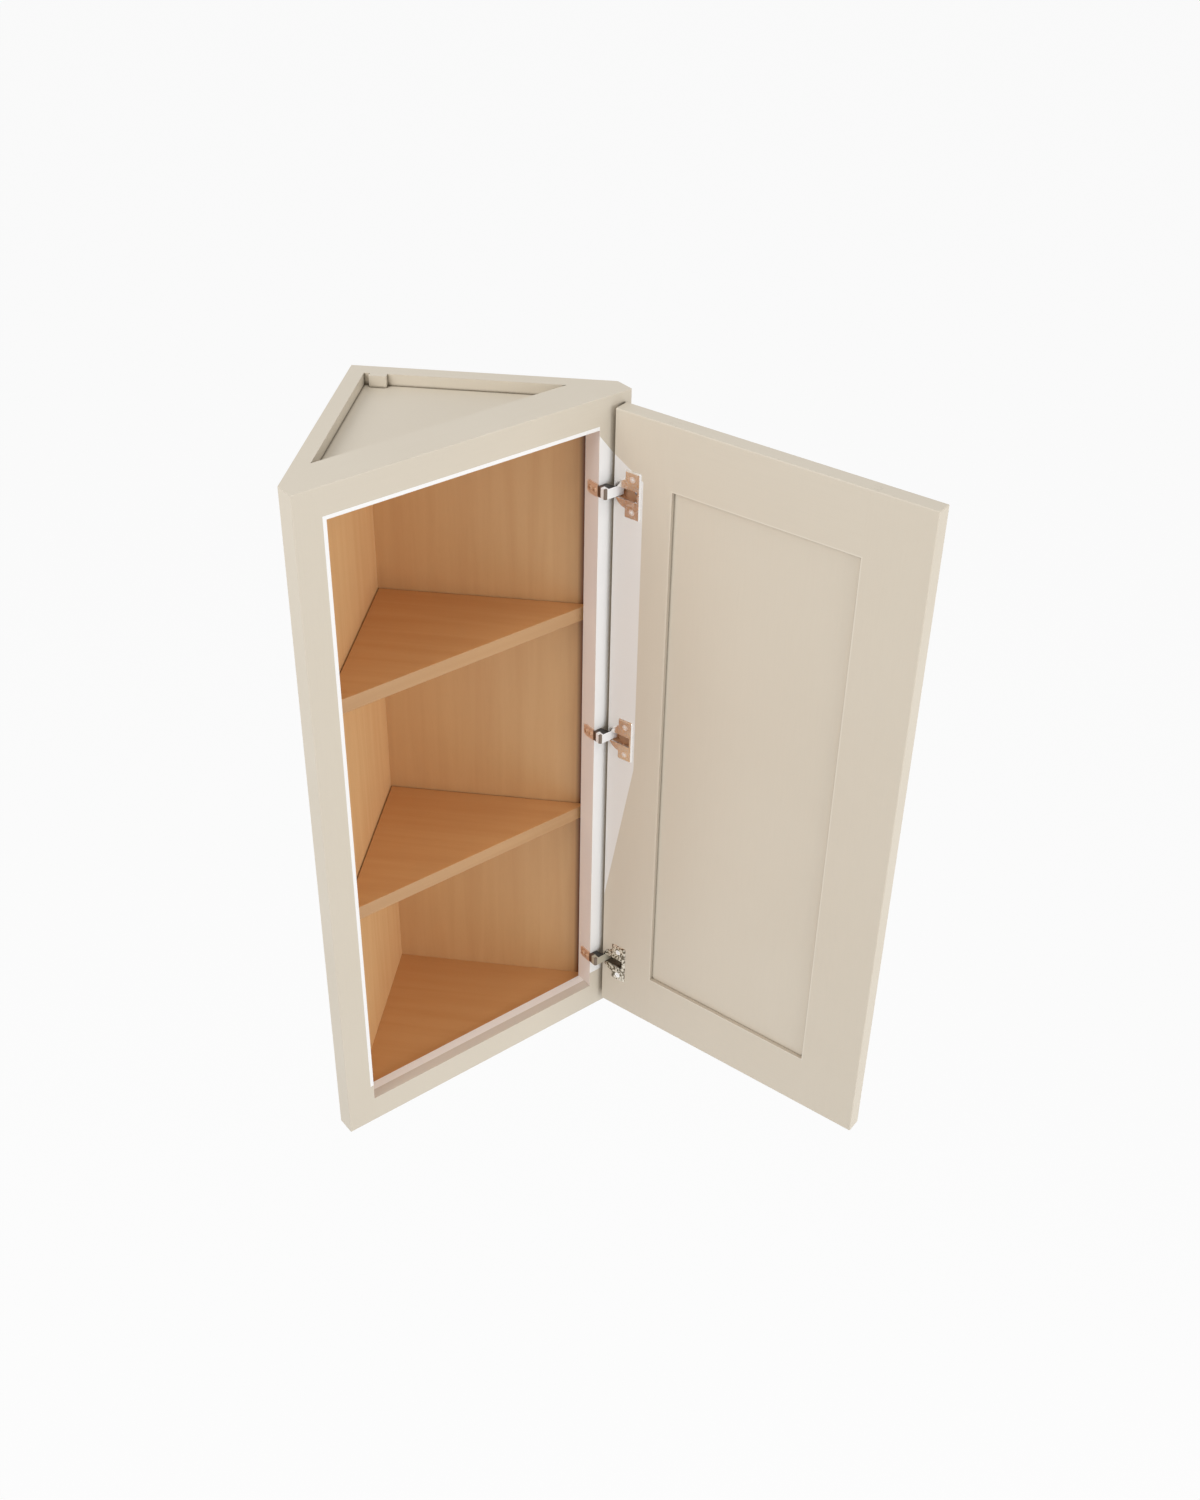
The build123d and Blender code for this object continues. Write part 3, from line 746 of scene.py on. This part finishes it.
@dataclass
class Hinges:
    """Three concealed hinges."""

    heights: tuple[str, ...] = ("bottom", "middle", "top")

    def dress(self) -> None:
        """Plates the hinges and their screws."""
        arm = FoldedArm("bright zinc on the folded arms", tone="#F3DECD", metallic=0.65, smooth=0.3, dull=0.4)
        cup = DrawnCup("spangled zinc on the drawn cups")
        # the bottom arm's painted reflection on its front is beige instead of white
        dull_arm = FoldedArm("dulled zinc on the bottom arm", tone="#EACFB8", bright="#BDB4A0", metallic=0.65,
                             smooth=0.3, dull=0.4)
        # bottom cup: darker painted highlight spots and a darker painted brown inside
        dull_cup = DrawnCup("dulled zinc on the bottom cup", tone="#6E6454", spangle_highlight="#E2DACA",
                            inner="#8C7B66", mottle=(0.44, 0.54), cover=(0.0, 1.0))
        for height in self.heights:
            dress(dull_arm if height == "bottom" else arm, f"{height}_hinge_arm")
            dress(dull_cup if height == "bottom" else cup, f"{height}_hinge_cup")
            dress(PlatedSteel("nickel-plated hinge pins"), f"{height}_hinge_pin")
            dress(PlatedSteel("spring steel strip", tone="#B8B8BC", smooth=0.25, dull=0.35),
                  f"{height}_hinge_spring")
        dress(PlatedSteel("bright zinc screws", tone="#FFFFFF", metallic=0.75, smooth=0.25, dull=0.35),
              "hinge_door_screws")
        dress(PlatedSteel("yellow-passivated screws", tone="#D8B393", metallic=0.4, smooth=0.4, dull=0.5),
              "hinge_frame_screws")


@dataclass(frozen=True)
class Lamp:
    """A soft square lamp round the cabinet.

    Its level is the light that it throws on a face turned to it, where a white dome of strength one
    throws one.
    """

    name: str
    azimuth: float
    elevation: float
    level: float
    distance: float = 3.4
    size: float = 1.8

    def hang(self, aim: Vector) -> None:
        """Adds the lamp to the scene.

        Args:
            aim: the point that it faces.
        """
        turn, rise = math.radians(self.azimuth), math.radians(self.elevation)
        away = Vector((math.cos(turn) * math.cos(rise), math.sin(turn) * math.cos(rise), math.sin(rise)))
        data = bpy.data.lights.new(self.name, "AREA")
        data.shape, data.size = "SQUARE", self.size
        data.energy = self.level * (math.pi * self.distance) ** 2
        lamp = bpy.data.objects.new(self.name, data)
        lamp.location = aim + away * self.distance
        lamp.rotation_euler = (-away).to_track_quat("-Z", "Y").to_euler()
        lamp.visible_camera = False
        bpy.context.scene.collection.objects.link(lamp)


@dataclass
class Studio:
    """Camera, lamps, world and floor."""

    eye: tuple[float, float, float] = (0.4923, -1.7777, 1.6950)
    pitch: float = 34.86
    yaw: float = 8.50
    lens: float = 41.13
    sensor: float = 36.0
    clip: Span = (0.05, 120.0)
    shift: tuple[float, float] = (0.0343, -0.0187)
    floor_drop: float = 1.37
    floor_radius: float = 40.0
    floor_sides: int = 96
    floor_paint: str = "#F0F0F0"
    floor_white: float = 0.9
    dome: float = 0.60
    centre: tuple[float, float, float] = (0.3, -0.2, 0.45)
    lamps: tuple[Lamp, ...] = (Lamp("left lamp", -140.0, 35.0, 0.39), Lamp("right lamp", -30.0, 6.0, 0.39),
                               Lamp("lamp above", -60.0, 75.0, 0.08))

    def camera(self) -> None:
        """Puts the camera where the photograph's camera was."""
        data = bpy.data.cameras.new("camera")
        data.lens, data.sensor_width = self.lens, self.sensor
        data.shift_x, data.shift_y = self.shift
        data.clip_start, data.clip_end = self.clip
        seen = bpy.data.objects.new("camera", data)
        seen.location = self.eye
        seen.rotation_euler = (math.radians(90 - self.pitch), 0.0, math.radians(self.yaw))
        bpy.context.scene.collection.objects.link(seen)
        bpy.context.scene.camera = seen

    def white_to_camera(self, tree: bpy.types.NodeTree, share: float) -> bpy.types.Node:
        """How much plain white a ray sees.

        Args:
            tree: the floor's or world's nodes.
            share: the share for a ray from the camera or from a gloss.

        Returns:
            The share for this ray.
        """
        ray = add_node(tree, "ShaderNodeLightPath", {})
        seen = add_node(tree, "ShaderNodeMath", {
            0: ray.outputs["Is Camera Ray"], 1: ray.outputs["Is Glossy Ray"]}, operation="MAXIMUM")
        return add_node(tree, "ShaderNodeMath", {0: seen, 1: share}, operation="MULTIPLY")

    def world(self) -> None:
        """Lights the room evenly and shows white behind the cabinet."""
        world = bpy.data.worlds.new("white room")
        world.use_nodes = True
        tree = world.node_tree
        tree.nodes.clear()
        light = add_node(tree, "ShaderNodeBackground", {"Color": linear(WHITE), "Strength": self.dome})
        seen = add_node(tree, "ShaderNodeBackground", {"Color": linear(WHITE), "Strength": 1.0})
        mixed = add_node(tree, "ShaderNodeMixShader", {0: self.white_to_camera(tree, 1.0), 1: light, 2: seen})
        add_node(tree, "ShaderNodeOutputWorld", {"Surface": mixed})
        bpy.context.scene.world = world

    def floor(self) -> None:
        """Lays a pale floor as far below the cabinet as it hangs in a kitchen."""
        bpy.ops.object.select_all(action="DESELECT")
        bpy.ops.mesh.primitive_circle_add(vertices=self.floor_sides, radius=self.floor_radius,
                                          fill_type="NGON", location=(0.0, 0.0, -self.floor_drop))
        floor = bpy.context.object
        floor.name = "floor"
        made = bpy.data.materials.new("matt white floor paint")
        made.use_nodes = True
        tree = made.node_tree
        tree.nodes.clear()
        paint = add_node(tree, "ShaderNodeBsdfDiffuse", {"Color": linear(self.floor_paint)})
        white = add_node(tree, "ShaderNodeEmission", {"Color": linear(WHITE), "Strength": 1.0})
        mixed = add_node(tree, "ShaderNodeMixShader", {
            0: self.white_to_camera(tree, self.floor_white), 1: paint, 2: white})
        add_node(tree, "ShaderNodeOutputMaterial", {"Surface": mixed})
        floor.data.materials.append(made)

    def build(self) -> None:
        """Sets up the whole studio."""
        bpy.context.scene.view_settings.view_transform = "Standard"
        self.camera()
        self.world()
        self.floor()
        for lamp in self.lamps:
            lamp.hang(Vector(self.centre))
        log.info("studio set up")


def main() -> None:
    """Builds the cabinet's looks, part by part."""
    logging.basicConfig(level=logging.INFO, format="%(name)s: %(message)s")
    Studio().build()
    Carcass().dress()
    FaceFrame().dress()
    Shelves().dress()
    Door().dress()
    Hinges().dress()


if __name__ == "__main__":
    main()
